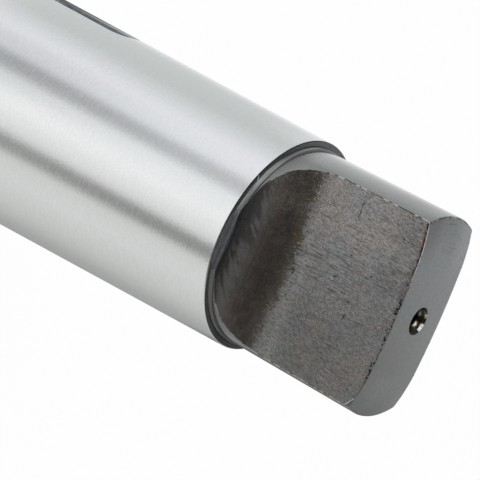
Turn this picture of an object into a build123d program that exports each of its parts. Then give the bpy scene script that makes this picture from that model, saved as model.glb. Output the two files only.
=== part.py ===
from build123d import *
import os
from math import acos, asin, cos, radians, sin, sqrt, tan

# Reducing sleeve with a Morse 5 outside taper, a Morse 2 socket and a driving tang.
# Sizes are in mm. The large end's face lies on z = 0 and the tang points along +Z.
# The tang's wide sides face +Y and -Y, and the drift slot runs along X.

# Outside taper
gauge_diameter = 44.399
outer_taper_ratio = 19.002
gauge_offset = 6.5
overall_length = 156.0
large_end_chamfer = 1.0
shoulder_chamfer = 0.15

# Neck and the small turned collar at its root
tang_length = 28.75
neck_diameter = 35.4
collar_foot = 0.42
collar_rise = 0.2
collar_height = 0.7
collar_bevel = 0.08

# Turned end of the tang
end_dome_radius = 185.0
end_corner_width = 5.95
end_corner_radius = 25.1
end_edge_break = 0.3

# Milled flats of the tang
tang_thickness = 15.0
runout_radius = 10.0
runout_clearance = 0.72
root_flat_inset = 0.17

# Centre hole in the tang's end
centre_mouth_diameter = 4.9
centre_pilot_diameter = 2.5
centre_pilot_length = 3.4
centre_cone_angle = 60.0
drill_point_angle = 118.0

# Socket in the large end
socket_gauge_diameter = 17.78
socket_taper_ratio = 20.02
socket_depth = 67.0
relief_diameter = 14.9
socket_mouth_chamfer = 0.8

# Drift slot through both walls; it starts a little before the socket's end
slot_width = 6.3
slot_length = 22.0
slot_overlap = 5.4
slot_edge_break = 0.4

# Sizes that follow from the ones above
shoulder_height = overall_length - tang_length
neck_radius = neck_diameter / 2
half_thickness = tang_thickness / 2
slot_start = socket_depth - slot_overlap


def outer_radius(z):
    """Radius of the outside taper at a height."""
    return (gauge_diameter - (z - gauge_offset) / outer_taper_ratio) / 2


def end_profile():
    """Points and arc middles of the tang's turned end, from the neck to the axis."""
    r1 = neck_radius - end_corner_width
    dome_drop = end_dome_radius - sqrt(end_dome_radius ** 2 - r1 ** 2)
    z1 = overall_length - dome_drop
    lean = asin(r1 / end_dome_radius)
    xc = r1 - end_corner_radius * sin(lean)
    zc = z1 - end_corner_radius * cos(lean)
    r_edge = neck_radius - end_edge_break
    z_edge = zc + sqrt(end_corner_radius ** 2 - (r_edge - xc) ** 2)
    r_mid = (r_edge + r1) / 2
    z_mid = zc + sqrt(end_corner_radius ** 2 - (r_mid - xc) ** 2)
    r_top = r1 / 2
    z_top = overall_length - end_dome_radius + sqrt(end_dome_radius ** 2 - r_top ** 2)
    return (r_edge, z_edge), (r_mid, z_mid), (r1, z1), (r_top, z_top)


def turned_blank():
    """Taper, shoulder, collar, neck and end as one turned solid."""
    edge, corner_mid, corner_end, dome_mid = end_profile()
    rim_radius = outer_radius(shoulder_height - shoulder_chamfer)
    with BuildPart() as blank:
        with BuildSketch(Plane.XZ):
            with BuildLine():
                Polyline(
                    (0, 0),
                    (outer_radius(0) - large_end_chamfer, 0),
                    (outer_radius(large_end_chamfer), large_end_chamfer),
                    (rim_radius, shoulder_height - shoulder_chamfer),
                    (rim_radius - shoulder_chamfer, shoulder_height),
                    (neck_radius + collar_foot, shoulder_height),
                    (neck_radius + collar_rise, shoulder_height + collar_height),
                    (neck_radius, shoulder_height + collar_height + collar_bevel),
                    (neck_radius, edge[1] - end_edge_break),
                    edge,
                )
                ThreePointArc(edge, corner_mid, corner_end)
                ThreePointArc(corner_end, dome_mid, (0, overall_length))
                Line((0, overall_length), (0, 0))
            make_face()
        revolve(axis=Axis.Z)
    return blank.part


def flat_cutter(side):
    """What the mill removes on one side: a flat, a round run-out and a narrow flat at the root."""
    start = shoulder_height + runout_clearance + runout_radius
    middle = half_thickness + runout_radius
    root_flat = middle - root_flat_inset
    top = overall_length + 5.0
    outside = max(neck_radius, middle) + 5.0
    last = acos(root_flat_inset / runout_radius)
    bend = (side * (middle - runout_radius * cos(last / 2)), start - runout_radius * sin(last / 2))
    arc_end = (side * root_flat, start - runout_radius * sin(last))
    with BuildPart() as cutter:
        with BuildSketch(Plane.YZ):
            with BuildLine():
                Line((side * half_thickness, top), (side * half_thickness, start))
                ThreePointArc((side * half_thickness, start), bend, arc_end)
                Polyline(
                    arc_end,
                    (side * root_flat, shoulder_height),
                    (side * outside, shoulder_height),
                    (side * outside, top),
                    (side * half_thickness, top),
                )
            make_face()
        extrude(amount=neck_diameter, both=True)
    return cutter.part


def centre_hole():
    """Centre drill's mark in the tang's end: cone, pilot and drill point."""
    mouth = centre_mouth_diameter / 2
    pilot = centre_pilot_diameter / 2
    slope = tan(radians(centre_cone_angle / 2))
    above = 1.0
    top = overall_length - (end_dome_radius - sqrt(end_dome_radius ** 2 - mouth ** 2))
    cone_end = top - (mouth - pilot) / slope
    pilot_end = cone_end - centre_pilot_length
    tip = pilot_end - pilot / tan(radians(drill_point_angle / 2))
    with BuildPart() as hole:
        with BuildSketch(Plane.XZ):
            with BuildLine():
                Polyline(
                    (0, tip),
                    (pilot, pilot_end),
                    (pilot, cone_end),
                    (mouth + above * slope, top + above),
                    (0, top + above),
                    (0, tip),
                )
            make_face()
        revolve(axis=Axis.Z)
    return hole.part


def socket():
    """Inside taper, its mouth chamfer, the relief bore and the drill point at its bottom."""
    mouth = socket_gauge_diameter / 2
    relief = relief_diameter / 2
    taper_length = (socket_gauge_diameter - relief_diameter) * socket_taper_ratio
    chamfer_radius = mouth - socket_mouth_chamfer / socket_taper_ratio / 2
    tip = socket_depth + relief / tan(radians(drill_point_angle / 2))
    below = 1.0
    with BuildPart() as hole:
        with BuildSketch(Plane.XZ):
            with BuildLine():
                Polyline(
                    (0, -below),
                    (mouth + socket_mouth_chamfer + below, -below),
                    (chamfer_radius, socket_mouth_chamfer),
                    (relief, taper_length),
                    (relief, socket_depth),
                    (0, tip),
                    (0, -below),
                )
            make_face()
        revolve(axis=Axis.Z)
    return hole.part


def drift_slot():
    """Slot with round ends through both walls of the sleeve."""
    middle = slot_start + slot_length / 2
    reach = outer_radius(0) + 5.0
    straight = slot_length - slot_width
    with BuildPart() as slot:
        with BuildSketch(Plane.YZ):
            with Locations((0, middle)):
                SlotCenterToCenter(straight, slot_width, rotation=90)
        extrude(amount=reach, both=True)
    return slot.part


def break_slot_edges(body):
    """Break the long curved edges where the slot leaves the outside taper."""
    limit = outer_radius(slot_start + slot_length) - 1.5
    outside = [
        edge
        for edge in body.edges()
        if abs(edge.center().X) > limit
        and abs(edge.center().Y) < slot_width / 2 + 0.5
        and slot_start - 0.5 < edge.center().Z < slot_start + slot_length + 0.5
    ]
    return chamfer(outside, slot_edge_break)


def taper_sleeve():
    """The whole sleeve as one solid."""
    body = turned_blank()
    body = body - flat_cutter(1) - flat_cutter(-1)
    body = body - centre_hole()
    body = body - socket()
    body = body - drift_slot()
    return break_slot_edges(body)


os.makedirs("parts", exist_ok=True)
export_step(taper_sleeve(), "parts/taper_sleeve.step")
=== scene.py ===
import math

import bmesh
import bpy
from mathutils import Matrix, Vector


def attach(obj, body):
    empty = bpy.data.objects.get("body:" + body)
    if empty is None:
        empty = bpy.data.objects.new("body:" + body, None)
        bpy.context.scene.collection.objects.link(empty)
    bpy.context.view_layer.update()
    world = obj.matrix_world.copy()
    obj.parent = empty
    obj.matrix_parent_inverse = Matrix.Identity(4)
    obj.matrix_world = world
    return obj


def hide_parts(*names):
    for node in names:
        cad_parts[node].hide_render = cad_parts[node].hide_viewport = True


# A black-tanged, ground reducing sleeve standing on its large end, seen from above its tang.
# Sizes are in millimetres and turn into metres with MM.

MM = 0.001

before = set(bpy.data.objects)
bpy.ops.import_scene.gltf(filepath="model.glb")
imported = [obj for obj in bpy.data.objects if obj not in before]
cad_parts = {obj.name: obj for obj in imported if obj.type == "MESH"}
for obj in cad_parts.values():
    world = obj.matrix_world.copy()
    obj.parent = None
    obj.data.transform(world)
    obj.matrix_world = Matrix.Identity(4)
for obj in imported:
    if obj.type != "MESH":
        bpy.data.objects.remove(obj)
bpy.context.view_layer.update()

# Outside taper
LENGTH = 156.0
TANG_LENGTH = 28.75
SHOULDER = LENGTH - TANG_LENGTH
GAUGE_RADIUS = 44.399 / 2
GAUGE_OFFSET = 6.5
TAPER = 1 / 19.002 / 2
LARGE_CHAMFER = 1.0
SHOULDER_CHAMFER = 0.15

# Neck, collar and tang
NECK = 35.4 / 2
COLLAR_FOOT = 0.42
COLLAR_RISE = 0.2
COLLAR_HEIGHT = 0.7
COLLAR_BEVEL = 0.08
HALF_TANG = 15.0 / 2
RUNOUT = 10.0
RUNOUT_START = SHOULDER + 0.72 + RUNOUT
ROOT_FLAT = HALF_TANG + RUNOUT - 0.17
DOME_RADIUS = 185.0
CORNER_WIDTH = 5.95
CORNER_RADIUS = 25.1
END_BREAK = 0.3

# Centre hole
HOLE_MOUTH = 4.9 / 2
HOLE_PILOT = 2.5 / 2
PILOT_LENGTH = 3.4
HOLE_CONE = math.radians(60 / 2)
DRILL_POINT = math.radians(118 / 2)

# Socket and drift slot
SOCKET_GAUGE = 17.78 / 2
SOCKET_TAPER = 1 / 20.02 / 2
SOCKET_DEPTH = 67.0
RELIEF = 14.9 / 2
MOUTH_CHAMFER = 0.8
SLOT_WIDTH = 6.3
SLOT_LENGTH = 22.0
SLOT_START = SOCKET_DEPTH - 5.4
SLOT_BREAK = 0.4

# How finely the mesh follows the round forms
SEGMENTS = 360
TAPER_STEPS = 30
SOCKET_STEPS = 8
CORNER_STEPS = 10
DOME_STEPS = 8
RUNOUT_STEPS = 40
SLOT_END_STEPS = 24

# Small rounding on both edges of the large end's chamfer: along the faces and into the corner
CHAMFER_RUN = 0.15
CHAMFER_ROUND = 0.1
CHAMFER_RIM = 0.02

# The cutters reach this far out from the axis and over the tang's end, and the slot's flares
# this far in and out from the taper
CUTTER_REACH = 30
CUTTER_TOP = 4
FLARE_IN = 0.05
FLARE_OUT = 0.6
FLARE_CAP = 3

# Edges that the mill left: rounding, and the least angle that counts as an edge
MILLED_ROUND = 0.09
MILLED_ANGLE = math.radians(12)
SHARP_ANGLE = math.radians(24)

# Single score lines in the front flat, which faces -Y: x at the shoulder, lowest and highest
# point above it
SCORES = [
    (-2.3, 8.6, 15.4),
    (-1.7, 9.6, 13.0),
    (0.9, 9.8, 16.0),
    (0.3, 15.0, 20.5),
    (-2.9, 15.0, 22.5),
    (1.9, 16.5, 22.0),
    (4.3, 18.0, 24.5),
    (6.4, 13.0, 19.0),
]

# Single pits in the front flat: x, height above the shoulder and half widths along both
MARKS = [
    (-1.35, 15.75, 0.2, 0.2),
    (-5.6, 16.9, 0.16, 0.16),
    (-4.1, 21.6, 0.2, 0.22),
    (1.15, 19.65, 0.2, 0.22),
    (3.6, 20.0, 0.5, 0.16),
    (1.0, 8.4, 0.6, 0.18),
    (-12.9, 15.3, 1.6, 0.08),
]


def outer_radius(z):
    """Radius of the outside taper at a height."""
    return GAUGE_RADIUS - (z - GAUGE_OFFSET) * TAPER


def end_height(r):
    """Height of the tang's turned end at a radius: a shallow dome, then a rounder corner."""
    inner = NECK - CORNER_WIDTH
    if r <= inner:
        return LENGTH - DOME_RADIUS + math.sqrt(DOME_RADIUS ** 2 - r * r)
    lean = math.asin(inner / DOME_RADIUS)
    z = LENGTH - DOME_RADIUS + math.sqrt(DOME_RADIUS ** 2 - inner * inner)
    xc = inner - CORNER_RADIUS * math.sin(lean)
    zc = z - CORNER_RADIUS * math.cos(lean)
    return zc + math.sqrt(CORNER_RADIUS ** 2 - (r - xc) ** 2)


def spaced(start, stop, count):
    """Evenly spaced values from start to stop, without the stop."""
    return [start + (stop - start) * i / count for i in range(count)]


def turned_profile():
    """(radius, height) points from the socket's tip, round the outside, to the hole's tip."""
    relief_start = (SOCKET_GAUGE - RELIEF) / SOCKET_TAPER
    mouth = SOCKET_GAUGE - MOUTH_CHAMFER * SOCKET_TAPER
    large = outer_radius(0)
    points = [
        (0.0, SOCKET_DEPTH + RELIEF / math.tan(DRILL_POINT)),
        (RELIEF, SOCKET_DEPTH),
        (RELIEF, relief_start),
    ]
    for z in spaced(relief_start, MOUTH_CHAMFER, SOCKET_STEPS)[1:]:
        points.append((SOCKET_GAUGE - z * SOCKET_TAPER, z))
    points += [
        (mouth, MOUTH_CHAMFER),
        (SOCKET_GAUGE + MOUTH_CHAMFER, 0.0),
        (large - LARGE_CHAMFER - CHAMFER_RUN, 0.0),
        (large - LARGE_CHAMFER + CHAMFER_ROUND, CHAMFER_ROUND),
        (large - CHAMFER_ROUND, LARGE_CHAMFER - CHAMFER_ROUND),
        (large - CHAMFER_RIM, LARGE_CHAMFER + CHAMFER_RUN),
    ]
    rim = SHOULDER - SHOULDER_CHAMFER
    for z in spaced(LARGE_CHAMFER + CHAMFER_RUN, rim, TAPER_STEPS)[1:]:
        points.append((outer_radius(z), z))
    points += [
        (outer_radius(rim), rim),
        (outer_radius(rim) - SHOULDER_CHAMFER, SHOULDER),
        (NECK + COLLAR_FOOT, SHOULDER),
        (NECK + COLLAR_RISE, SHOULDER + COLLAR_HEIGHT),
        (NECK, SHOULDER + COLLAR_HEIGHT + COLLAR_BEVEL),
    ]
    edge = end_height(NECK - END_BREAK)
    middle = END_BREAK * 0.3
    points += [
        (NECK, edge - END_BREAK),
        (NECK - middle, edge - middle),
        (NECK - END_BREAK, edge),
    ]
    for r in spaced(NECK - END_BREAK, NECK - CORNER_WIDTH, CORNER_STEPS)[1:]:
        points.append((r, end_height(r)))
    for r in spaced(NECK - CORNER_WIDTH, HOLE_MOUTH, DOME_STEPS):
        points.append((r, end_height(r)))
    mouth_z = end_height(HOLE_MOUTH)
    cone_end = mouth_z - (HOLE_MOUTH - HOLE_PILOT) / math.tan(HOLE_CONE)
    points += [
        (HOLE_MOUTH, mouth_z),
        (HOLE_PILOT, cone_end),
        (HOLE_PILOT, cone_end - PILOT_LENGTH),
        (0.0, cone_end - PILOT_LENGTH - HOLE_PILOT / math.tan(DRILL_POINT)),
    ]
    return points


def turned_blank():
    """Mesh of the turned and bored blank, closed at both of its tips."""
    mesh = bmesh.new()
    rings = []
    for r, z in turned_profile():
        if r == 0.0:
            rings.append([mesh.verts.new((0, 0, z * MM))])
            continue
        ring = []
        for i in range(SEGMENTS):
            a = 2 * math.pi * (i + 0.5) / SEGMENTS
            ring.append(mesh.verts.new((r * math.cos(a) * MM, r * math.sin(a) * MM, z * MM)))
        rings.append(ring)
    for low, high in zip(rings, rings[1:]):
        for i in range(SEGMENTS):
            j = (i + 1) % SEGMENTS
            if len(low) == 1:
                mesh.faces.new((low[0], high[j], high[i]))
            elif len(high) == 1:
                mesh.faces.new((low[i], low[j], high[0]))
            else:
                mesh.faces.new((low[i], low[j], high[j], high[i]))
    bmesh.ops.recalc_face_normals(mesh, faces=mesh.faces)
    return mesh


def prism(outline):
    """Closed mesh of a (y, z) outline drawn out along X to both sides of the axis."""
    mesh = bmesh.new()
    left = [mesh.verts.new((-CUTTER_REACH * MM, y * MM, z * MM)) for y, z in outline]
    right = [mesh.verts.new((CUTTER_REACH * MM, y * MM, z * MM)) for y, z in outline]
    mesh.faces.new(left)
    mesh.faces.new(list(reversed(right)))
    for i in range(len(outline)):
        j = (i + 1) % len(outline)
        mesh.faces.new((left[j], left[i], right[i], right[j]))
    bmesh.ops.recalc_face_normals(mesh, faces=mesh.faces)
    return mesh


def flat_outline(side):
    """(y, z) outline of what the mill removes on one side of the tang."""
    top = LENGTH + CUTTER_TOP
    outside = HALF_TANG + RUNOUT + 6
    last = math.acos((HALF_TANG + RUNOUT - ROOT_FLAT) / RUNOUT)
    outline = [(side * HALF_TANG, top)]
    for i in range(RUNOUT_STEPS + 1):
        a = last * i / RUNOUT_STEPS
        y = HALF_TANG + RUNOUT * (1 - math.cos(a))
        outline.append((side * y, RUNOUT_START - RUNOUT * math.sin(a)))
    outline += [(side * ROOT_FLAT, SHOULDER), (side * outside, SHOULDER), (side * outside, top)]
    return outline


def slot_outline():
    """(y, z) outline of the drift slot with its round ends."""
    r = SLOT_WIDTH / 2
    outline = []
    for turn, middle in ((0.0, SLOT_START + SLOT_LENGTH - r), (math.pi, SLOT_START + r)):
        for i in range(SLOT_END_STEPS + 1):
            a = turn + math.pi * i / SLOT_END_STEPS
            outline.append((r * math.cos(a), middle + r * math.sin(a)))
    return outline


def slot_flare(side):
    """Mesh that breaks the slot's edge at 45 degrees where it leaves the outside on one side."""
    mesh = bmesh.new()
    r = SLOT_WIDTH / 2
    low, high = SLOT_START + r, SLOT_START + SLOT_LENGTH - r
    inner, outer = [], []
    for y, z in slot_outline():
        out_y, out_z = y / r, (z - min(max(z, low), high)) / r
        edge = math.sqrt(outer_radius(z) ** 2 - y * y)
        for loop, reach in ((inner, -SLOT_BREAK - FLARE_IN), (outer, FLARE_OUT)):
            grow = reach + SLOT_BREAK
            place = (side * (edge + reach) * MM, (y + out_y * grow) * MM, (z + out_z * grow) * MM)
            loop.append(mesh.verts.new(place))
    middle = (low + high) / 2
    deep = mesh.verts.new((side * (outer_radius(middle) - FLARE_CAP) * MM, 0, middle * MM))
    top = mesh.verts.new((side * (outer_radius(middle) + FLARE_CAP) * MM, 0, middle * MM))
    for i in range(len(inner)):
        j = (i + 1) % len(inner)
        mesh.faces.new((inner[i], inner[j], deep))
        mesh.faces.new((outer[j], outer[i], top))
        mesh.faces.new((inner[j], inner[i], outer[i], outer[j]))
    bmesh.ops.recalc_face_normals(mesh, faces=mesh.faces)
    return mesh


def as_object(name, mesh):
    """Turns a bmesh into a linked object."""
    data = bpy.data.meshes.new(name)
    mesh.to_mesh(data)
    mesh.free()
    obj = bpy.data.objects.new(name, data)
    bpy.context.scene.collection.objects.link(obj)
    return obj


def cut(obj, cutters):
    """Takes each cutter out of the object's mesh and deletes the cutters."""
    for cutter in cutters:
        step = obj.modifiers.new("cut", "BOOLEAN")
        step.operation = "DIFFERENCE"
        step.solver = "EXACT"
        step.object = cutter
        bpy.context.view_layer.update()
        graph = bpy.context.evaluated_depsgraph_get()
        result = bpy.data.meshes.new_from_object(obj.evaluated_get(graph))
        obj.modifiers.clear()
        old = obj.data
        obj.data = result
        bpy.data.meshes.remove(old)
        data = cutter.data
        bpy.data.objects.remove(cutter)
        bpy.data.meshes.remove(data)


def on_flat(p):
    """Whether a point lies on a milled flat or on its round run-out."""
    y, z = abs(p.y) / MM, p.z / MM
    if z >= RUNOUT_START - 1e-3:
        return abs(y - HALF_TANG) < 0.01
    off = math.hypot(HALF_TANG + RUNOUT - y, RUNOUT_START - z)
    return z > SHOULDER + 0.3 and abs(off - RUNOUT) < 0.03


sleeve = as_object("sleeve", turned_blank())
cutters = [
    as_object("cutter_front", prism(flat_outline(-1))),
    as_object("cutter_back", prism(flat_outline(1))),
    as_object("cutter_slot_left", slot_flare(-1)),
    as_object("cutter_slot_right", slot_flare(1)),
    as_object("cutter_slot", prism(slot_outline())),
]
cut(sleeve, cutters)


GROUND, TURNED, MILLED, FACED, WORN, CENTRE, BORE, LARGE_END, ROOT = range(9)


def region(face):
    """Which finish a face of the sleeve carries."""
    p = face.calc_center_median()
    r, z = math.hypot(p.x, p.y) / MM, p.z / MM
    off_slot = abs(z - SLOT_START - SLOT_LENGTH / 2) - SLOT_LENGTH / 2
    in_slot = abs(p.y) / MM < SLOT_WIDTH / 2 + SLOT_BREAK and off_slot < SLOT_BREAK
    if in_slot and 3 < r < outer_radius(z) - 0.05:
        return BORE
    if z < SHOULDER - 0.02:
        if r < RELIEF + 0.05 and z > (SOCKET_GAUGE - RELIEF) / SOCKET_TAPER - 0.1:
            return BORE
        return LARGE_END if z < LARGE_CHAMFER and r > SOCKET_GAUGE + 0.3 else GROUND
    if all(on_flat(v.co) for v in face.verts):
        return MILLED
    on_root_flat = z < SHOULDER + 0.8 and abs(abs(p.y) / MM - ROOT_FLAT) < 0.01
    if on_root_flat or (face.normal.z > 0.95 and z < SHOULDER + 0.1):
        return ROOT
    if r < HOLE_MOUTH - 0.01 and z > SHOULDER + 10:
        return CENTRE
    if face.normal.z > 0.75 and z > LENGTH - 3:
        return FACED
    return TURNED


def finish_edges(obj):
    """Sorts the faces by finish and rounds the edges that the mill left."""
    mesh = bmesh.new()
    mesh.from_mesh(obj.data)
    bmesh.ops.remove_doubles(mesh, verts=mesh.verts, dist=0.004 * MM)
    bmesh.ops.dissolve_degenerate(mesh, edges=mesh.edges, dist=0.002 * MM)
    mesh.normal_update()
    for face in mesh.faces:
        face.material_index = region(face)
    sharp = []
    for edge in mesh.edges:
        if len(edge.link_faces) != 2:
            continue
        kinds = {f.material_index for f in edge.link_faces}
        if MILLED in kinds and len(kinds) == 2 and edge.calc_face_angle(0) > MILLED_ANGLE:
            sharp.append(edge)
    bmesh.ops.bevel(
        mesh,
        geom=sharp,
        offset=MILLED_ROUND * MM,
        offset_type="OFFSET",
        segments=2,
        profile=0.6,
        affect="EDGES",
        clamp_overlap=False,
        material=WORN,
    )
    for face in mesh.faces:
        face.smooth = True
    for edge in mesh.edges:
        if len(edge.link_faces) == 2:
            edge.smooth = edge.calc_face_angle(0) < SHARP_ANGLE
    mesh.to_mesh(obj.data)
    mesh.free()


finish_edges(sleeve)


class Nodes:
    """A node tree under construction: each call adds a node and gives its output socket."""

    def __init__(self, owner):
        owner.use_nodes = True
        self.tree = owner.node_tree
        self.tree.nodes.clear()

    def add(self, kind, **settings):
        made = self.tree.nodes.new("ShaderNode" + kind)
        for name, value in settings.items():
            setattr(made, name, value)
        return made

    def set(self, socket, value):
        """Links an output socket to an input, or writes a plain value or colour on it."""
        if isinstance(value, bpy.types.NodeSocket):
            self.tree.links.new(value, socket)
        elif isinstance(value, tuple) and len(value) == 3 and len(socket.default_value) == 4:
            socket.default_value = (*value, 1)
        else:
            socket.default_value = value

    def maths(self, operation, *values, clamp=False):
        made = self.add("Math", operation=operation, use_clamp=clamp)
        for value, socket in zip(values, made.inputs):
            self.set(socket, value)
        return made.outputs[0]

    def times(self, first, *others):
        for other in others:
            first = self.maths("MULTIPLY", first, other)
        return first

    def plus(self, first, *others):
        for other in others:
            first = self.maths("ADD", first, other)
        return first

    def most(self, first, *others):
        for other in others:
            first = self.maths("MAXIMUM", first, other)
        return first

    def minus(self, first, second):
        return self.maths("SUBTRACT", first, second)

    def over(self, first, second):
        return self.maths("DIVIDE", first, second)

    def off(self, value, middle):
        """How far the value is from the middle, to either side."""
        return self.maths("ABSOLUTE", self.minus(value, middle))

    def line(self, value, slope, start):
        """Value times slope, plus start."""
        return self.maths("MULTIPLY_ADD", value, slope, start)

    def point(self):
        """The shaded point in the sleeve's own frame, in millimetres."""
        place = self.add("TexCoord")
        return self.shade(place.outputs["Object"], 1 / MM)

    def split(self, vector):
        made = self.add("SeparateXYZ")
        self.set(made.inputs[0], vector)
        return made.outputs

    def join(self, x, y, z):
        made = self.add("CombineXYZ")
        for value, socket in zip((x, y, z), made.inputs):
            self.set(socket, value)
        return made.outputs[0]

    def texture(self, kind, vector, scale):
        made = self.add(kind)
        self.set(made.inputs["Vector"], vector)
        made.inputs["Scale"].default_value = scale
        return made

    def noise(self, vector, scale=1.0, detail=2.0, rough=0.5, twist=0.0):
        made = self.texture("TexNoise", vector, scale)
        for name, value in (("Detail", detail), ("Roughness", rough), ("Distortion", twist)):
            made.inputs[name].default_value = value
        return made.outputs[0]

    def streaks(self, vector, factors, **settings):
        """Noise on the vector times three factors: it is drawn out where a factor is small."""
        return self.noise(self.multiply(vector, factors), **settings)

    def warp(self, vector, scale, amount):
        """The vector pushed about by a noise, so that shapes made from it turn irregular."""
        made = self.texture("TexNoise", vector, scale)
        push = self.add("VectorMath", operation="MULTIPLY_ADD")
        self.set(push.inputs[0], made.outputs["Color"])
        push.inputs[1].default_value = (amount,) * 3
        self.set(push.inputs[2], vector)
        return push.outputs[0]

    def cells(self, vector, scale):
        """Distance to the middle of the nearest random cell, and the cell's random tone."""
        made = self.texture("TexVoronoi", vector, scale)
        return made.outputs["Distance"], self.split(made.outputs["Color"])[0]

    def step(self, value, low, high, start=0.0, stop=1.0):
        """Smooth step from start to stop while the value goes from low to high."""
        made = self.add("MapRange", interpolation_type="SMOOTHSTEP")
        for socket, given in zip(made.inputs, (value, low, high, start, stop)):
            self.set(socket, given)
        return made.outputs[0]

    def fall(self, value, low, high):
        """Smooth step from 1 to 0 while the value goes from low to high."""
        return self.step(value, low, high, 1.0, 0.0)

    def band(self, value, start, full, fade, end):
        """Rises from start to full, stays 1 and falls from fade to end."""
        return self.times(self.step(value, start, full), self.fall(value, fade, end))

    def near(self, value, middle, inside, outside):
        """1 within inside of the middle, 0 beyond outside."""
        return self.fall(self.off(value, middle), inside, outside)

    def blend(self, share, first, second):
        """Colour that goes from first to second with the share."""
        made = self.add("Mix", data_type="RGBA")
        colours = [socket for socket in made.inputs if socket.type == "RGBA"]
        self.set(made.inputs[0], share)
        self.set(colours[0], first)
        self.set(colours[1], second)
        return next(socket for socket in made.outputs if socket.type == "RGBA")

    def shade(self, colour, share):
        """The colour or vector times a number."""
        made = self.add("VectorMath", operation="SCALE")
        self.set(made.inputs[0], colour)
        self.set(made.inputs["Scale"], share)
        return made.outputs[0]

    def multiply(self, first, second):
        """Two colours or vectors multiplied part by part."""
        made = self.add("VectorMath", operation="MULTIPLY")
        self.set(made.inputs[0], first)
        self.set(made.inputs[1], second)
        return made.outputs[0]

    def ramp(self, value, stops):
        """Colour ramp through (place, colour) stops."""
        made = self.add("ValToRGB")
        points = made.color_ramp.elements
        while len(points) > 1:
            points.remove(points[-1])
        for i, (place, colour) in enumerate(stops):
            point = points[0] if i == 0 else points.new(place)
            point.position = place
            point.color = (*colour, 1)
        self.set(made.inputs[0], value)
        return made.outputs[0]

    def radius(self, x, y):
        """Distance from the sleeve's axis."""
        return self.maths("SQRT", self.plus(self.times(x, x), self.times(y, y)))

    def rings(self, x, y, fine, along):
        """Noise drawn out into rings round the axis."""
        r = self.times(self.radius(x, y), fine)
        return self.noise(self.join(r, self.times(x, along), self.times(y, along)))

    def end_of_tang(self, x, y):
        """Height of the tang's turned end at each point, close to what end_height gives."""
        r = self.radius(x, y)
        dome = self.over(self.times(r, r), 2 * DOME_RADIUS)
        out = self.most(self.minus(r, NECK - CORNER_WIDTH), 0.0)
        corner = self.over(self.times(out, out), 2 * CORNER_RADIUS)
        return self.minus(LENGTH, self.plus(dome, corner))

    def bump(self, height, depth, under=None):
        """Normal bent by a height field whose full swing is depth millimetres."""
        made = self.add("Bump")
        made.inputs["Strength"].default_value = 1.0
        made.inputs["Distance"].default_value = depth * MM
        self.set(made.inputs["Height"], height)
        if under is not None:
            self.set(made.inputs["Normal"], under)
        return made.outputs[0]

    def metal(self, colour, roughness, normal=None, **constants):
        """Principled metal joined to the material's output."""
        made = self.add("BsdfPrincipled")
        self.set(made.inputs["Base Color"], colour)
        self.set(made.inputs["Roughness"], roughness)
        made.inputs["Metallic"].default_value = 1.0
        if normal is not None:
            self.set(made.inputs["Normal"], normal)
        for name, value in constants.items():
            made.inputs[name.replace("_", " ").title().replace("Ior", "IOR")].default_value = value
        self.surface(made)
        return made

    def surface(self, shader, owner="Material"):
        """Joins the shader to the output of the material or the world."""
        out = self.add("Output" + owner)
        self.set(out.inputs["Surface"], shader.outputs[0])

    def round_axis(self, shader):
        """Sets the shader's grain direction round the sleeve's axis."""
        grain = self.add("Tangent", direction_type="RADIAL", axis="Z")
        self.set(shader.inputs["Tangent"], grain.outputs[0])


def ground_steel(n):
    """Cylindrically ground, hardened steel: short fine marks round the axis and a soft grain."""
    p = n.point()
    marks = n.streaks(p, (0.7, 0.7, 4.2), detail=3.0, rough=0.6)
    grain = n.noise(p, 2.6, rough=0.65)
    clouds = n.streaks(p, (1.0, 1.0, 0.35), scale=0.12, detail=3.0)
    tone = n.plus(n.times(marks, 0.5), n.times(grain, 0.5))
    fresh = n.blend(n.step(clouds, 0.3, 0.7), (0.85, 0.865, 0.86), (0.88, 0.88, 0.885))
    colour = n.blend(n.step(tone, 0.3, 0.7), (0.80, 0.805, 0.81), fresh)
    # A near-black band runs along the shoulder's rim, wider on the side toward -X
    x, _, z = n.split(p)
    rim_band_width = n.plus(n.step(x, -10.0, 4.0, 0.12, 0.0), n.times(grain, 0.06))
    over_rim = n.step(n.plus(z, rim_band_width), SHOULDER, SHOULDER + 0.05)
    colour = n.blend(over_rim, colour, (0.026, 0.026, 0.027))
    roughness = n.step(tone, 0.25, 0.75, 0.17, 0.24)
    normal = n.bump(grain, 0.012, n.bump(marks, 0.009))
    shader = n.metal(colour, roughness, normal, anisotropic=0.5, anisotropic_rotation=0.25)
    n.round_axis(shader)


def collar_painted_light(n, p, x, above, on_collar):
    """Painted shade and highlight on the low collar: painted shade at both sides and where its lit
    band narrows, and a streaky painted highlight.
    """
    # Painted shade toward +X, toward -X mostly low on the collar, and where the lit band narrows
    right = n.times(n.step(x, -2.0, 6.0), 0.66)
    left = n.times(n.step(x, -15.6, -13.2, 0.85, 0.0), n.step(above, 0.15, 0.5, 1.0, 0.35))
    slant = n.plus(above, n.step(x, -9.5, -5.0, 0.0, 0.42))
    thin = n.times(n.band(x, -9.5, -6.5, -3.0, 0.0), n.step(slant, 0.42, 0.6, 0.0, 0.64))
    darkening = n.times(on_collar, n.plus(right, left, thin))
    # A streaky painted highlight on the lit part toward -X
    turned = n.streaks(p, (0.25, 0.25, 9.0), rough=0.6)
    lit = n.times(on_collar, n.band(x, -15.0, -13.0, -8.0, -5.0))
    streaky = n.line(lit, n.step(turned, 0.35, 0.65, -0.35, 0.75), 1.0)
    return n.times(n.minus(1.0, darkening), streaky)


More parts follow.
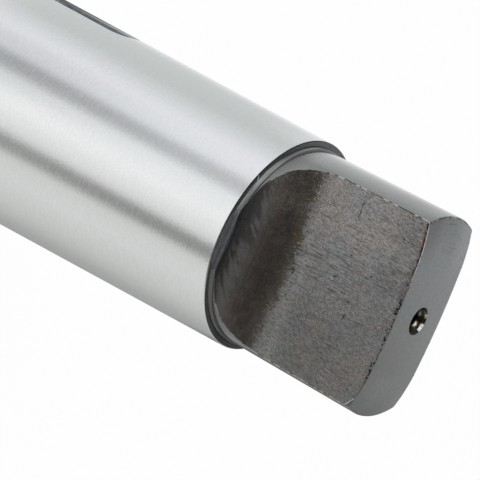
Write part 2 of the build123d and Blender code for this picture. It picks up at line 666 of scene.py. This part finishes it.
def turned_black(n):
    """Black oxide on the turned neck, collar and shoulder, glossy with a trace of oil, with
    painted shade and highlight by place.
    """
    p = n.point()
    marks = n.streaks(p, (0.35, 0.35, 6.0), rough=0.55)
    patches = n.noise(p, 0.22, detail=3.0, rough=0.6)
    grain = n.noise(p, 3.0)
    x, _, z = n.split(p)
    above = n.minus(z, SHOULDER)
    on_collar = n.fall(above, COLLAR_HEIGHT, 0.8)
    cool = n.blend(n.step(grain, 0.3, 0.7), (0.22, 0.23, 0.228), (0.28, 0.29, 0.285))
    colour = n.blend(n.step(patches, 0.35, 0.75), cool, (0.24, 0.235, 0.225))
    # Painted shade: the neck darker toward +X
    colour = n.shade(colour, n.step(x, -6.0, 16.0, 1.0, 0.55))
    colour = n.shade(colour, collar_painted_light(n, p, x, above, on_collar))
    # Painted shade in the crease at the collar's top, and on the neck just above the collar
    crease = n.off(above, 0.76)
    colour = n.shade(colour, n.step(crease, 0.04, 0.14, 0.4, 1.0))
    colour = n.shade(colour, n.most(n.step(above, 0.8, 4.0, 0.62, 1.0), on_collar))
    roughness = n.step(patches, 0.3, 0.7, 0.20, 0.28)
    normal = n.bump(grain, 0.002, n.bump(marks, 0.0025))
    n.metal(colour, roughness, normal, coat_weight=1.0, coat_roughness=0.10, coat_ior=1.7)


# Painted reflection and shade on the shoulder's ring by x, and how far the ramp reaches to both
# sides
RING_PAINTED_LIGHT = [
    (-17.2, 1.3), (-15.6, 0.75), (-8.8, 0.62), (-5.6, 0.8), (-3.6, 1.0),
    (4.0, 1.0), (6.8, 0.75), (15.6, 0.7), (16.8, 0.3),
]
RING_REACH = 20.0

# Line of a small knock in the shoulder's rim: its normal in x and y, and its distance
NICK_NORMAL = (-0.295, 0.955)
NICK = -11.1


def root_black(n):
    """Matt black oxide on the shoulder's face and the root flats, with fine turning rings, and
    painted shade, reflection and highlight by place.
    """
    p = n.point()
    x, y, z = n.split(p)
    r = n.radius(x, y)
    rings = n.rings(x, y, 5.0, 0.15)
    grain = n.noise(p, 1.6, detail=3.0, rough=0.6)
    colour = n.blend(n.step(grain, 0.3, 0.7), (0.078, 0.081, 0.086), (0.108, 0.112, 0.116))
    # Painted shade: the rim darkens outward, and in front of the flats it is a little darker and
    # has a thin dark line
    far_out = n.step(n.maths("ABSOLUTE", x), 3.6, 5.2)
    outward = n.plus(r, n.step(far_out, 0.0, 1.0, -0.6, 0.0))
    colour = n.shade(colour, n.step(outward, 18.0, 18.2, 1.0, 0.58))
    colour = n.shade(colour, n.most(n.step(r, 18.74, 18.84, 1.0, 0.3), far_out))
    colour = n.shade(colour, n.most(0.9, far_out))
    past = n.plus(n.times(x, NICK_NORMAL[0]), n.times(y, NICK_NORMAL[1]))
    nick = n.times(n.near(past, NICK, 0.04, 0.12), n.near(x, -10.8, 0.7, 0.85))
    colour = n.blend(nick, colour, (0.75, 0.75, 0.75))
    # A painted highlight: the collar's lit band runs on as a light streak toward -X
    foot = n.times(n.near(r, 17.98, 0.07, 0.15), n.near(x, -5.5, 0.8, 1.7))
    foot = n.times(foot, n.fall(z, SHOULDER + 0.1, SHOULDER + 0.3))
    colour = n.blend(foot, colour, (0.20, 0.20, 0.20))
    # Painted reflection and shade on the ring outside the collar, by x
    tones = [((at + RING_REACH) / (2 * RING_REACH), (tone,) * 3) for at, tone in RING_PAINTED_LIGHT]
    painted_ring_light = n.ramp(n.over(n.plus(x, RING_REACH), 2 * RING_REACH), tones)
    tone = n.blend(n.step(r, 17.6, 17.9), (1.0, 1.0, 1.0), painted_ring_light)
    colour = n.multiply(colour, tone)
    normal = n.bump(rings, 0.01, n.bump(grain, 0.008))
    n.metal(colour, n.step(rings, 0.3, 0.7, 0.42, 0.55), normal, metallic=0.0)


# The milled flats: how far their grain leans from Z, and how far the score lines drift in x
# for each millimetre up
MILLED_LEAN = math.radians(9)
SCORE_DRIFT = -0.03
LIGHT_DUST = (0.27, 0.25, 0.24)

# Direction in x and inward of the dark smear's strokes, and depth and half width of the lens of
# painted light beside the root flat
STROKE_X, STROKE_IN = 0.82, 0.57
LENS_DEPTH = 0.66
LENS_HALF = 4.4

# Scale of the noise that breaks the flats' torn end edge into dots, on both sides of the edge
EDGE_DOTS = 2.3


def milled_lay(n, x, y, z):
    """The point in a frame that leans with the milled grain."""
    rise, side = math.cos(MILLED_LEAN), math.sin(MILLED_LEAN)
    along = n.plus(n.times(z, rise), n.times(x, side))
    across = n.minus(n.times(x, rise), n.times(z, side))
    return n.join(across, y, along)


def worn_grain(n, lay, grain):
    """Grain of the flats, drawn out into fine scratches in some patches."""
    scratches = n.streaks(lay, (4.6, 0.5, 0.9), rough=0.7, twist=0.1)
    lined = n.streaks(lay, (0.14, 0.5, 0.12))
    lined = n.step(lined, 0.4, 0.6, 0.15, 0.5)
    return n.plus(n.times(scratches, lined), n.times(grain, n.minus(1.0, lined)))


def cut_lines(n, p, lay, grain, x, above, front):
    """Dark lines up the flats: scattered ones, a denser patch, and SCORES on the front one."""
    groove = n.streaks(p, (2.6, 0.5, 0.08), detail=1.0)
    grooved = n.streaks(lay, (0.35, 0.5, 0.2))
    cut = n.times(n.step(groove, 0.61, 0.68, 0.0, 0.6), n.step(grooved, 0.46, 0.6))
    raked = n.step(n.streaks(p, (4.0, 0.5, 0.17), detail=1.0), 0.58, 0.67)
    patchy = n.streaks(p, (0.6, 0.5, 0.3))
    raked = n.times(raked, n.step(patchy, 0.42, 0.56, 0.25, 1.0))
    here = n.times(n.near(x, -1.0, 2.5, 7.5), n.step(above, 16.0, 25.0, 1.0, 0.3))
    cut = n.most(cut, n.times(raked, n.most(here, 0.4)))
    for start, low, high in SCORES:
        beside = n.off(x, n.line(above, SCORE_DRIFT, start))
        score = n.times(
            n.step(beside, 0.03, 0.10, 0.8, 0.0),
            n.band(above, low, low + 1.2, high - 1.2, high),
            n.step(grain, 0.3, 0.5, 0.4, 1.0),
        )
        cut = n.most(cut, n.times(score, front))
    return cut


def pits(n, p, lay, x, above, front):
    """Scattered small pits on both flats, and MARKS on the front one."""
    far_pit, pit_tone = n.cells(n.multiply(n.warp(lay, 1.4, 0.9), (1.0, 1.0, 0.6)), 0.8)
    pit = n.times(n.step(far_pit, 0.05, 0.16, 0.8, 0.0), n.step(pit_tone, 0.90, 0.94))
    fretted = n.times(n.minus(n.noise(p, 1.8), 0.5), 0.7)
    for mark_x, mark_z, half_x, half_z in MARKS:
        off_x = n.over(n.minus(n.plus(x, fretted), mark_x), half_x)
        off_z = n.over(n.plus(n.minus(above, mark_z), fretted), half_z)
        off = n.plus(n.times(off_x, off_x), n.times(off_z, off_z))
        pit = n.most(pit, n.times(n.step(off, 0.5, 1.3, 0.75, 0.0), front))
    return pit


def oxide_scale(n, lay, x, z, above):
    """Grey scale of the flats with rusty patches, in the tones that the photo shows by place."""
    patches = n.streaks(lay, (0.13, 0.5, 0.10), rough=0.45, twist=0.4)
    rust = n.streaks(lay, (1.3, 0.5, 0.9), detail=3.0, rough=0.7)
    rusty = n.streaks(lay, (0.22, 0.5, 0.18))
    rust = n.times(n.step(rust, 0.52, 0.70, 0.0, 0.75), n.step(rusty, 0.42, 0.58))
    scale = n.blend(n.step(patches, 0.36, 0.64), (0.238, 0.24, 0.242), (0.27, 0.252, 0.238))
    scale = n.blend(rust, scale, (0.26, 0.185, 0.165))
    scale = n.shade(scale, n.step(x, -14.0, 14.0, 1.08, 1.02))
    scale = n.shade(scale, n.step(z, LENGTH - 4.0, LENGTH - 1.5, 1.0, 1.1))
    by_end = n.times(n.step(above, 20.5, 24.5, 0.0, 0.17), n.fall(x, -4.5, -1.0))
    by_band = n.times(n.near(above, 9.0, 0.8, 3.0), n.step(x, -4.0, 0.0, 0.0, 0.17))
    scale = n.shade(scale, n.minus(n.plus(1.0, by_band), by_end))
    darkening = n.times(n.near(above, 15.5, 3.5, 6.5), n.step(x, 2.0, 8.0))
    clear = n.times(n.near(above, 24.0, 1.0, 3.0), n.near(x, -8.8, 1.0, 2.6))
    return n.shade(scale, n.line(clear, 0.16, n.line(darkening, -0.11, 1.0)))


def band_height(n, p, lay, grain, x, above):
    """Height above the shoulder with the ragged wander of the burnt band's edge taken off."""
    feather = n.streaks(lay, (1.7, 0.5, 0.8), detail=6.0, rough=0.8, twist=0.6)
    wander = n.streaks(lay, (0.28, 0.5, 0.2))
    speckle = n.streaks(p, (2.8, 0.5, 0.55), detail=2.5, rough=0.7)
    wobble = n.plus(n.times(feather, 4.4), n.times(wander, 1.6))
    wobble = n.plus(wobble, n.times(grain, 3.6), n.times(speckle, 4.6))
    bulge = n.step(n.off(x, 0.5), 2.5, 8.0, 0.85, 0.0)
    return n.minus(n.plus(above, 6.85), n.plus(wobble, bulge))


def burnt_brown(n, p, lay, grain, x, height):
    """Browns of the burnt band: redder inside, olive by its edge, scratched toward -X."""
    warm = n.blend(n.step(x, 2.0, 9.0), (0.082, 0.075, 0.063), (0.088, 0.076, 0.073))
    brown = n.blend(n.step(grain, 0.35, 0.65), warm, (0.126, 0.117, 0.106))
    streaked = n.streaks(lay, (0.5, 0.5, 1.6), detail=3.0, rough=0.6)
    brown = n.shade(brown, n.step(streaked, 0.3, 0.7, 0.84, 1.2))
    brown = n.shade(brown, n.step(x, 4.0, 12.0, 1.0, 1.32))
    brown = n.shade(brown, n.line(n.near(x, -9.3, 0.8, 2.6), 0.3, 1.0))
    redder = n.step(n.noise(p, 0.33, detail=3.0, rough=0.6), 0.46, 0.6)
    redder = n.times(redder, n.step(height, 5.6, 3.8), 0.7)
    brown = n.blend(redder, brown, (0.108, 0.086, 0.084))
    fringe = n.step(n.off(height, 6.3), 0.1, 1.2, 0.75, 0.0)
    olive = n.step(n.streaks(lay, (0.5, 0.5, 0.8)), 0.42, 0.58)
    brown = n.blend(n.times(fringe, olive), brown, (0.12, 0.098, 0.062))
    hair = n.streaks(n.warp(lay, 0.25, 3.0), (0.62, 0.5, 0.22), detail=3.0, rough=0.7)
    hair = n.off(hair, 0.5)
    hair = n.times(n.step(hair, 0.003, 0.016, 0.75, 0.0), n.step(x, -8.5, -4.0, 1.0, 0.12))
    brown = n.blend(hair, brown, LIGHT_DUST)
    dust = n.step(n.noise(p, 3.1), 0.58, 0.68, 0.0, 0.6)
    return n.blend(n.times(dust, n.step(x, -9.0, -4.0, 1.0, 0.3)), brown, LIGHT_DUST)


def smeared_foot(n, x, y, brown):
    """Foot of the run-out: wiped grey, with a dark smear in slanting strokes by the root flat."""
    inward = n.minus(ROOT_FLAT, n.maths("ABSOLUTE", y))
    down = n.plus(n.times(x, STROKE_X), n.times(inward, STROKE_IN))
    across = n.minus(n.times(x, STROKE_IN), n.times(inward, STROKE_X))
    strokes = n.join(n.times(across, 1.05), n.maths("SIGN", y), n.times(down, 0.22))
    streak = n.noise(strokes, detail=3.5, rough=0.6)
    reach = n.minus(n.step(x, -2.5, 2.6, 4.2, 2.1), inward)
    ragged = n.line(n.near(x, 3.2, 1.5, 4.0), 7.0, 9.0)
    smear = n.plus(n.times(n.minus(streak, 0.5), ragged), reach)
    wiped = n.blend(n.step(streak, 0.40, 0.62), (0.128, 0.124, 0.121), (0.094, 0.089, 0.087))
    dark = n.shade((0.056, 0.056, 0.056), n.step(inward, 0.6, 2.4, 1.7, 1.05))
    wiped = n.blend(n.step(smear, -1.1, 1.1), wiped, dark)
    brown = n.blend(n.fall(inward, 4.0, 7.0), brown, wiped)
    # A thin lens of painted light, in the grey of a lit ledge, runs along the root flat, widest at
    # x = 0
    lens = n.times(x, x, LENS_DEPTH / LENS_HALF ** 2)
    lens = n.plus(inward, lens, n.times(streak, 0.25))
    return n.blend(n.fall(lens, LENS_DEPTH, LENS_DEPTH + 0.14), brown, (0.23, 0.24, 0.26))


def band_crumbs(n, p, lay, x, height, colour):
    """Light bits and specks of soot along the burnt band's edge."""
    bits = n.step(n.noise(p, 2.9), 0.60, 0.68)
    bits = n.times(bits, n.near(height, 6.9, 0.4, 1.4), n.step(x, 1.0, 6.0, 0.85, 0.2))
    colour = n.blend(bits, colour, (0.40, 0.39, 0.37))
    soot = n.step(n.noise(lay, 2.3), 0.60, 0.66)
    soot = n.times(soot, n.near(height, 7.6, 0.5, 1.5), 0.8)
    return n.blend(soot, colour, (0.05, 0.045, 0.04))


def torn_edge(n, p, x, from_edge):
    """Shares of dark chips and of pale specks in them along the flats' end edge."""
    ragged = n.noise(p, 2.6, detail=3.0, rough=0.7)
    wide = n.most(
        n.near(x, -1.4, 1.2, 2.4),
        n.near(x, 3.2, 0.8, 1.7),
        n.near(x, 8.4, 0.5, 1.3),
    )
    deep = n.plus(n.step(x, -11.0, -8.0, 0.40, 0.48), n.times(wide, 0.5))
    torn = n.times(n.step(ragged, 0.34, 0.66), deep)
    torn = n.step(n.minus(torn, from_edge), -0.12, 0.05)
    dotted = n.noise(p, EDGE_DOTS, rough=0.7)
    pale = n.times(torn, wide, n.step(dotted, 0.47, 0.40, 0.0, 0.8))
    dots = n.most(n.step(dotted, 0.47, 0.56), n.fall(x, -9.0, -6.5))
    return n.times(torn, dots, n.step(x, 10.9, 12.0, 1.0, 0.1)), pale


def front_marks(n, x, above, from_edge, front, colour):
    """A dark red speck at the front flat's end edge, and the light burr at its lower corner."""
    spot = n.times(n.near(x, 10.5, 0.12, 0.24), n.step(from_edge, 0.28, 0.42, 0.9, 0.0), front)
    colour = n.blend(spot, colour, (0.07, 0.012, 0.012))
    past = n.minus(n.line(x, 0.71, above), 37.80)
    at_corner = n.times(front, n.step(x, 13.7, 14.3))
    colour = n.blend(n.times(at_corner, n.step(past, 0.0, 0.1)), colour, (0.19, 0.20, 0.20))
    burr = n.times(at_corner, n.near(past, 0.0, 0.07, 0.17), 0.85)
    return n.blend(burr, colour, (0.72, 0.72, 0.72))


def rusty_corners(n, p, x, from_edge, colour):
    """Reddish specks by the end edge near its two corners."""
    speck = n.step(n.noise(p, 1.4), 0.50, 0.60)
    corner = n.plus(n.step(x, -11.5, -9.0, 1.0, 0.12), n.step(x, 11.0, 14.0, 0.0, 0.35))
    reddish = n.times(speck, corner, n.step(from_edge, 0.4, 0.95, 0.9, 0.0))
    return n.blend(reddish, colour, (0.20, 0.06, 0.055))


def milled_black(n):
    """Black oxide on the milled flats: scale, fine scratches and pits, burnt on the run-out."""
    p = n.point()
    x, y, z = n.split(p)
    above = n.minus(z, SHOULDER)
    from_edge = n.minus(n.end_of_tang(x, y), z)
    front = n.fall(y, -1.0, 1.0)
    lay = milled_lay(n, x, y, z)
    grain = n.streaks(lay, (4.8, 1.0, 3.4), rough=0.9)
    worn = worn_grain(n, lay, grain)
    cut = cut_lines(n, p, lay, grain, x, above, front)
    pit = pits(n, p, lay, x, above, front)
    flat = n.shade(oxide_scale(n, lay, x, z, above), n.step(worn, 0.34, 0.62, 0.60, 1.24))
    flat = n.blend(n.step(worn, 0.58, 0.70, 0.0, 0.6), flat, (0.44, 0.43, 0.42))
    flat = n.blend(n.times(cut, 0.64), flat, (0.05, 0.045, 0.045))
    flat = n.blend(pit, flat, (0.02, 0.018, 0.016))
    height = band_height(n, p, lay, grain, x, above)
    brown = smeared_foot(n, x, y, burnt_brown(n, p, lay, grain, x, height))
    colour = n.blend(n.fall(height, 6.4, 7.6), flat, brown)
    colour = band_crumbs(n, p, lay, x, height, colour)
    torn, pale = torn_edge(n, p, x, from_edge)
    colour = n.blend(torn, colour, (0.03, 0.026, 0.024))
    colour = n.blend(pale, colour, (0.27, 0.29, 0.30))
    colour = front_marks(n, x, above, from_edge, front, colour)
    colour = rusty_corners(n, p, x, from_edge, colour)
    relief = n.minus(n.minus(n.minus(worn, pit), n.times(cut, 0.5)), torn)
    n.metal(colour, n.step(worn, 0.36, 0.64, 0.50, 0.34), n.bump(relief, 0.05))


def faced_black(n):
    """Black oxide on the turned end: smooth, with faint rings round the centre hole, and painted
    light and shade by place.
    """
    p = n.point()
    x, y, _ = n.split(p)
    r = n.radius(x, y)
    rings = n.rings(x, y, 4.5, 0.1)
    grain = n.noise(p, 2.4, detail=3.0, rough=0.6)
    patches = n.noise(p, 0.18, detail=3.0)
    body = n.blend(n.step(patches, 0.35, 0.7), (0.212, 0.226, 0.222), (0.226, 0.222, 0.222))
    # Painted shade: the end darker toward -Y
    body = n.shade(body, n.step(y, -6.0, 6.0, 0.94, 1.03))
    # Painted light and shade: three of the end's corners, lighter at the back toward -X and toward
    # +X, darker at the front toward -X, and the whole end darker toward -X and lighter toward +X
    left_back = n.times(n.fall(x, -12.0, -6.0), n.step(y, 1.0, 5.0, 0.0, 0.22))
    right = n.times(n.step(x, 8.0, 15.0), n.step(y, -6.0, 4.0, 0.5, 0.16))
    left_front = n.times(n.step(x, -11.0, -7.0, 0.17, 0.0), n.fall(y, -5.5, -2.5))
    corners = n.minus(n.plus(left_back, right), left_front)
    body = n.shade(body, n.plus(n.step(x, -16.0, 16.0, 0.90, 1.14), corners))
    blue = n.times(n.step(x, -16.0, -6.0, 0.3, 1.0), n.fall(x, -6.0, 4.0), 0.6)
    body = n.blend(blue, body, (0.205, 0.218, 0.234))
    colour = n.blend(n.step(grain, 0.35, 0.7), n.blend(0.12, body, (0.0, 0.0, 0.0)), body)
    # The steeper outer part is scored in arcs, and its rim is chipped
    outer = n.step(r, NECK - CORNER_WIDTH - 0.3, NECK - CORNER_WIDTH + 0.3)
    broken = n.step(n.noise(p, 0.35), 0.42, 0.62)
    scored = n.times(outer, broken, n.step(rings, 0.38, 0.5, 0.4, 0.0))
    scored = n.times(scored, n.step(x, -6.0, 4.0, 1.0, 0.2))
    colour = n.blend(scored, colour, (0.07, 0.07, 0.07))
    rim = n.streaks(p, (1.6, 1.6, 0.6), detail=3.0, rough=0.7)
    chipped = n.blend(n.step(rim, 0.46, 0.60), (0.045, 0.038, 0.032), (0.42, 0.42, 0.41))
    on_rim = n.times(n.step(r, NECK - 0.36, NECK - 0.26), n.step(x, -4.0, 6.0, 0.9, 0.25))
    colour = n.blend(on_rim, colour, chipped)
    normal = n.bump(rings, 0.002, n.bump(grain, 0.003))
    n.metal(colour, n.step(grain, 0.3, 0.7, 0.36, 0.30), normal)


def worn_edge(n):
    """Milled edges: bare steel where they were knocked, dark and rusty where they weren't."""
    p = n.point()
    x, _, z = n.split(p)
    nicks = n.noise(p, 1.1, detail=4.0, rough=0.75)
    stain = n.noise(p, 1.7, detail=3.0, rough=0.6)
    at_end = n.step(z, LENGTH - 3.0, LENGTH - 2.2)
    corners = n.plus(n.step(x, -11.5, -9.5, 1.0, 0.12), n.step(x, 12.0, 14.5, 0.0, 0.8))
    rust = n.times(at_end, corners, n.step(stain, 0.44, 0.58))
    dark = n.blend(rust, (0.045, 0.040, 0.038), (0.22, 0.08, 0.065))
    at_root = n.step(z, SHOULDER + 0.9, SHOULDER + 1.4, 0.5, 0.0)
    dark = n.blend(n.times(at_root, 2.0), dark, (0.105, 0.107, 0.112))
    # How much is bare changes along the end edge and up the flats' long sides
    side = n.minus(n.step(x, -9.0, -2.0, -0.14, 0.10), n.step(x, 14.0, 15.2, 0.0, 0.35))
    shaded = n.times(at_end, n.minus(side, n.step(x, -15.2, -14.0, 0.2, 0.0)))
    long_side = n.step(z, SHOULDER + 8.0, SHOULDER + 11.0)
    before_end = n.step(z, LENGTH - 4.0, LENGTH - 2.5, 0.05, 0.0)
    long_side = n.times(long_side, before_end)
    level = n.minus(n.minus(nicks, at_root), n.plus(shaded, long_side))
    bare = n.step(z, SHOULDER + 6.0, SHOULDER + 9.0)
    bare = n.blend(bare, (0.33, 0.33, 0.33), (0.62, 0.62, 0.61))
    colour = n.blend(n.step(level, 0.42, 0.54), dark, bare)
    # Between the torn edge's dots it keeps the grey of the end
    dots = n.step(n.noise(p, EDGE_DOTS, rough=0.7), 0.56, 0.46)
    spared = n.most(dots, n.step(x, 10.9, 12.0))
    spared = n.times(spared, n.times(at_end, n.step(x, -9.0, -6.5)))
    colour = n.blend(spared, colour, (0.20, 0.21, 0.21))
    n.metal(colour, 0.32, n.bump(nicks, 0.05))


# Patches on the centre hole's wall, the light last one a painted highlight: angle and half angle,
# depth and half depth, and colour
CENTRE_PATCHES = [
    ((1.72, 0.9, 0.15, 0.40), (0.105, 0.10, 0.055)),
    ((2.25, 0.40, 1.02, 0.25), (0.27, 0.21, 0.20)),
    ((1.28, 0.15, 0.52, 0.15), (0.36, 0.23, 0.19)),
    ((1.08, 0.45, 1.12, 0.40), (0.25, 0.16, 0.10)),
    ((2.0, 0.20, 0.08, 0.26), (0.66, 0.62, 0.48)),
]


def centre_dark(n):
    """Centre hole: oily black cone, with painted highlights in patches on the wall toward +X and
    +Y and painted shade deep down.
    """
    p = n.point()
    x, y, z = n.split(p)
    mottle = n.noise(p, 1.5, detail=4.0, rough=0.75)
    depth = n.minus(LENGTH, n.plus(z, n.times(mottle, 0.12)))
    around = n.plus(n.maths("ARCTAN2", y, x), n.times(mottle, 0.1))

    def patch(angle, half_angle, level, half_level):
        wide = n.near(around, angle, half_angle * 0.6, half_angle)
        return n.times(wide, n.near(depth, level, half_level * 0.6, half_level))

    oily = n.blend(n.step(mottle, 0.42, 0.58), (0.022, 0.026, 0.022), (0.06, 0.06, 0.048))
    for place, tone in CENTRE_PATCHES:
        oily = n.blend(patch(*place), oily, tone)
    # Painted shade deep in the hole
    oily = n.blend(n.step(depth, 1.22, 1.42), oily, (0.004, 0.004, 0.005))
    # Painted highlights: a bright spot on the wall and a stripe by the rim, warm white to
    # blue-white, not metal so that they show bright
    widening = n.plus(n.off(around, 1.08), n.step(depth, 0.7, 1.1, 0.30, 0.0))
    painted_glint = n.times(n.fall(widening, 0.16, 0.36), n.near(depth, 0.92, 0.20, 0.36))
    painted_rim_stripe = n.times(patch(1.14, 0.36, 0.06, 0.40), n.step(mottle, 0.36, 0.42))
    bright = n.most(painted_rim_stripe, painted_glint)
    sky = n.band(depth, 0.5, 0.7, 0.82, 1.0)
    colour = n.blend(bright, oily, n.blend(sky, (1.0, 0.98, 0.95), (0.76, 0.88, 1.0)))
    shader = n.metal(colour, 0.22, n.bump(mottle, 0.05))
    n.set(shader.inputs["Metallic"], n.minus(1.0, bright))


def bore_grey(n):
    """Dull grey inside the drift slot and the relief bore, darker on the slot's broken edges."""
    p = n.point()
    marks = n.streaks(p, (2.0, 2.0, 0.8), detail=3.0)
    colour = n.blend(n.step(marks, 0.3, 0.7), (0.44, 0.46, 0.48), (0.54, 0.56, 0.58))
    out = n.maths("ABSOLUTE", n.split(p)[0])
    edge = outer_radius(SLOT_START)
    colour = n.shade(colour, n.step(out, edge - 0.9, edge - 0.6, 1.0, 0.36))
    n.metal(colour, n.step(marks, 0.3, 0.7, 0.40, 0.52), n.bump(marks, 0.02))


def turned_bright(n):
    """Faced and bevelled large end: bright steel with turning rings round the socket."""
    x, y, _ = n.split(n.point())
    rings = n.rings(x, y, 4.0, 0.05)
    colour = n.blend(n.step(rings, 0.35, 0.65), (0.62, 0.62, 0.62), (0.78, 0.78, 0.78))
    n.round_axis(n.metal(colour, 0.28, n.bump(rings, 0.006), anisotropic=0.5))


def finished(finish):
    """Material with a finish function's name and nodes."""
    material = bpy.data.materials.new(finish.__name__)
    finish(Nodes(material))
    return material


# In the order of the numbers that region gives
for finish in (
    ground_steel,
    turned_black,
    milled_black,
    faced_black,
    worn_edge,
    centre_dark,
    bore_grey,
    turned_bright,
    root_black,
):
    sleeve.data.materials.append(finished(finish))

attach(sleeve, "root")
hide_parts("taper_sleeve")


def look_along(location, target, roll):
    """Camera matrix at a place, facing a target, turned by roll about its view."""
    back = (Vector(location) - Vector(target)).normalized()
    right = Vector((0, 0, 1)).cross(back).normalized()
    up = back.cross(right)
    turn = Matrix.Rotation(math.radians(roll), 3, back)
    right, up = turn @ right, turn @ up
    rotation = Matrix((right, up, back)).transposed()
    return Matrix.Translation(location) @ rotation.to_4x4()


# Camera beside and above the tang, rolled so that the sleeve points down to the right
CAMERA_PLACE = (-0.05521, -0.29493, 0.29837)
CAMERA_TARGET = (0.00223, -0.00044, 0.11981)
CAMERA_ROLL = 118.72

camera_data = bpy.data.cameras.new("camera")
camera_data.sensor_width = 36
camera_data.lens = 156
camera_data.clip_start = 0.01
camera_data.clip_end = 50
camera = bpy.data.objects.new("camera", camera_data)
bpy.context.scene.collection.objects.link(camera)
camera.matrix_world = look_along(CAMERA_PLACE, CAMERA_TARGET, CAMERA_ROLL)
bpy.context.scene.camera = camera

# Studio, in metres

FLOOR_HALF = 6
FLOOR_GAP = 0.05 * MM
TENT_RADIUS = 0.085
TENT_HEIGHT = 0.36
TENT_SIDES = 96

# The floor's own glow where it is seen directly, and the world's light where it isn't
FLOOR_GLOW = 0.9
WORLD_LIGHT = 0.8

# Tone of the tent's soft panels by the angle from the tang's front, toward +X, in degrees
PANELS = [
    (-180, (1.0, 1.0, 1.0)),
    (-162, (0.92, 0.92, 0.92)),
    (-142, (0.66, 0.68, 0.68)),
    (-100, (0.62, 0.65, 0.64)),
    (-80, (0.80, 0.81, 0.83)),
    (-68, (0.92, 0.93, 0.97)),
    (-50, (0.90, 0.92, 0.95)),
    (-26, (0.92, 0.94, 0.95)),
    (-8, (1.0, 1.0, 1.0)),
    (8, (0.84, 0.85, 0.84)),
    (20, (0.72, 0.73, 0.71)),
    (36, (0.72, 0.73, 0.71)),
    (55, (0.75, 0.76, 0.75)),
    (85, (0.62, 0.63, 0.61)),
    (115, (0.42, 0.43, 0.42)),
    (142, (0.36, 0.37, 0.36)),
    (162, (0.72, 0.72, 0.72)),
    (180, (1.0, 1.0, 1.0)),
]

# Parts of the tent that are darker or lighter than the panels: angle and half width in degrees,
# the heights in mm over which they change, and what they leave of the light at the two heights
GAPS = [
    (-40, 12, 30, 90, 0.47, 0.64),
    (-55, 20, 30, 75, 0.80, 0.97),
    (-27, 12, 30, 75, 0.86, 1.0),
    (24.0, 11.5, 30, 90, 0.45, 0.40),
    (-135, 34, 74, 94, 1.0, 1.25),
    (152, 30, 68, 86, 1.0, 0.2),
]

# Heights in mm over which those parts end, the opening on the camera's side (angle and half
# widths in degrees), and the heights over which the opening starts and over which it brightens
GAPS_END = (135.0, 150.0)
OPENING = (-10.6, 50, 85)
OPENING_START = (143.0, 150.0)
OPENING_BRIGHT = (225.0, 300.0)


def seen_directly(n):
    """1 for camera, glossy and transmission rays, which see the white background."""
    path = n.add("LightPath")
    seen = n.maths("ADD", path.outputs["Is Camera Ray"], path.outputs["Is Glossy Ray"], clamp=True)
    return n.maths("ADD", seen, path.outputs["Is Transmission Ray"], clamp=True)


def floor_white(n):
    """Pale floor, white to the camera and in the metal, that still takes a soft shadow."""
    soft = n.add("BsdfDiffuse")
    n.set(soft.inputs["Color"], (1.0, 1.0, 1.0))
    glow = n.add("Emission")
    n.set(glow.inputs["Color"], (1.0, 1.0, 1.0))
    mix = n.add("MixShader")
    n.set(mix.inputs[0], n.times(seen_directly(n), FLOOR_GLOW))
    n.set(mix.inputs[1], soft.outputs[0])
    n.set(mix.inputs[2], glow.outputs[0])
    n.surface(mix)


def tent_panels(n):
    """Soft panels of a light tent: tone by angle, dark in the opening on the camera's side."""
    x, y, z = n.split(n.point())
    turn = n.maths("ARCTAN2", x, n.times(y, -1.0))
    share = n.plus(n.over(turn, 2 * math.pi), 0.5)
    panels = n.ramp(share, [((angle + 180) / 360, tone) for angle, tone in PANELS])
    for angle, half_width, z_low, z_high, low, high in GAPS:
        inside, outside = math.radians(half_width * 0.25), math.radians(half_width)
        core = n.near(turn, math.radians(angle), inside, outside)
        core = n.times(core, n.fall(z, *GAPS_END))
        left = n.step(z, z_low, z_high, low, high)
        panels = n.blend(core, panels, n.shade(panels, left))
    opening = n.times(n.near(turn, *map(math.radians, OPENING)), n.step(z, *OPENING_START))
    inner = n.blend(n.step(z, *OPENING_BRIGHT), (0.10, 0.09, 0.08), (0.35, 0.35, 0.35))
    glow = n.add("Emission")
    n.set(glow.inputs["Color"], n.blend(opening, panels, inner))
    n.surface(glow)


def light_tent():
    """Open ring of soft panels round the sleeve, which only reflections see."""
    mesh = bmesh.new()
    bmesh.ops.create_cone(
        mesh,
        segments=TENT_SIDES,
        radius1=TENT_RADIUS,
        radius2=TENT_RADIUS,
        depth=TENT_HEIGHT,
        matrix=Matrix.Translation((0, 0, TENT_HEIGHT / 2)),
        cap_ends=False,
    )
    tent = as_object("light_tent", mesh)
    tent.data.materials.append(finished(tent_panels))
    for rays in ("camera", "diffuse", "transmission", "volume_scatter", "shadow"):
        setattr(tent, "visible_" + rays, False)


def white_world():
    """White to the camera and in reflections, softer where it lights the floor."""
    world = bpy.data.worlds.new("studio")
    bpy.context.scene.world = world
    n = Nodes(world)
    glow = n.add("Background")
    n.set(glow.inputs["Color"], (1.0, 1.0, 1.0))
    strength = n.line(seen_directly(n), 1.0 - WORLD_LIGHT, WORLD_LIGHT)
    n.set(glow.inputs["Strength"], strength)
    n.surface(glow, "World")


def soft_lamp(name, place, target, size, power):
    """Square area lamp that faces a point and that the camera doesn't see."""
    data = bpy.data.lights.new(name, "AREA")
    data.shape = "SQUARE"
    data.size = size
    data.energy = power
    lamp = bpy.data.objects.new(name, data)
    bpy.context.scene.collection.objects.link(lamp)
    lamp.matrix_world = look_along(place, target, 0)
    lamp.visible_camera = False


floor_mesh = bmesh.new()
bmesh.ops.create_grid(floor_mesh, x_segments=1, y_segments=1, size=FLOOR_HALF)
floor = as_object("floor", floor_mesh)
floor.data.materials.append(finished(floor_white))
floor.location.z = -FLOOR_GAP
light_tent()
white_world()
soft_lamp("key", place=(-0.5, -0.5, 0.9), target=(0, 0, 0.08), size=0.5, power=2.0)

bpy.context.scene.view_settings.view_transform = "Standard"
